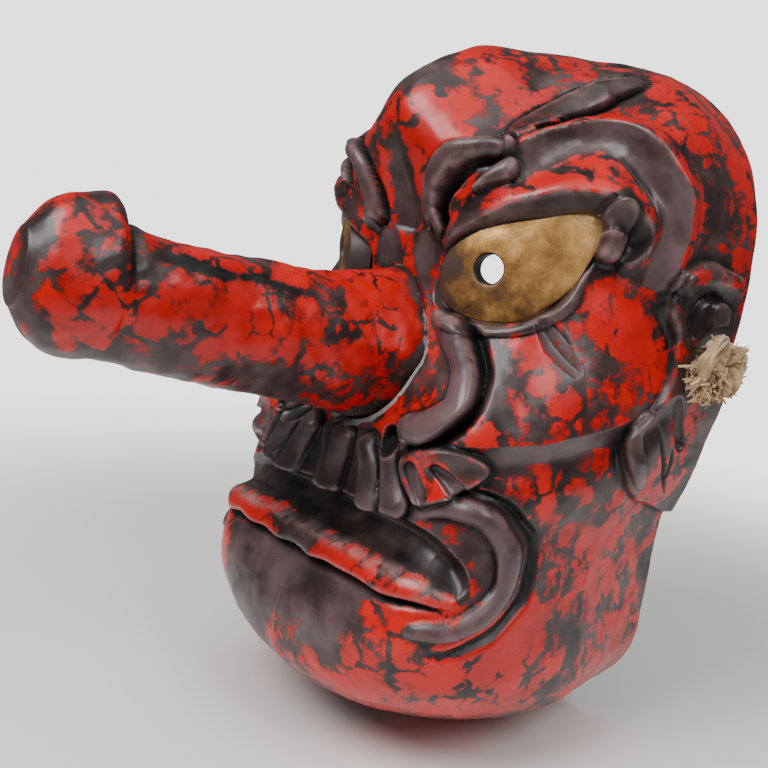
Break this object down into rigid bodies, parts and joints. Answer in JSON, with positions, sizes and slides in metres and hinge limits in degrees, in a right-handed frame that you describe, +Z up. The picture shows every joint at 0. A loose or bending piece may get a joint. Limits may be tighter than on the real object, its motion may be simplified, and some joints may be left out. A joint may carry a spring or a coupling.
{
  "type": "noh mask",
  "caption": "Carved long-nosed goblin face mask with a hollow back, a plug-in nose, gilt eyes pierced for sight and a cord knotted through the ears.",
  "frame": {"origin": "centre of the back plane, where the mask meets the wearer's head or the wall, at the height of the nose", "axes": "+Z up, the face looks along -Y, +X to the mask's own left"},
  "size_m": [0.246, 0.2775, 0.3083],
  "materials": {
    "face_shell": "worn vermilion lacquer over dark brown lacquer, glossy",
    "nose": "worn vermilion lacquer over dark brown lacquer, glossy",
    "eye_insert_left": "worn gold leaf over brown lacquer",
    "eye_insert_right": "worn gold leaf over brown lacquer",
    "hanging_cord": "twisted undyed cotton",
    "knot_left": "twisted undyed cotton, frayed",
    "knot_right": "twisted undyed cotton, frayed"
  },
  "bodies": {
    "mask": {"face_shell": "face_shell", "eye_insert_left": "eye_insert_left", "eye_insert_right": "eye_insert_right", "hanging_cord": "hanging_cord", "knot_left": "knot_left", "knot_right": "knot_right"},
    "nose": {"nose": "nose"}
  },
  "joints": [
    {"name": "nose_pull", "type": "slide", "parent": "mask", "child": "nose", "axis": [0, -0.9925, 0.1219], "range_m": [0, 0.05]}
  ]
}
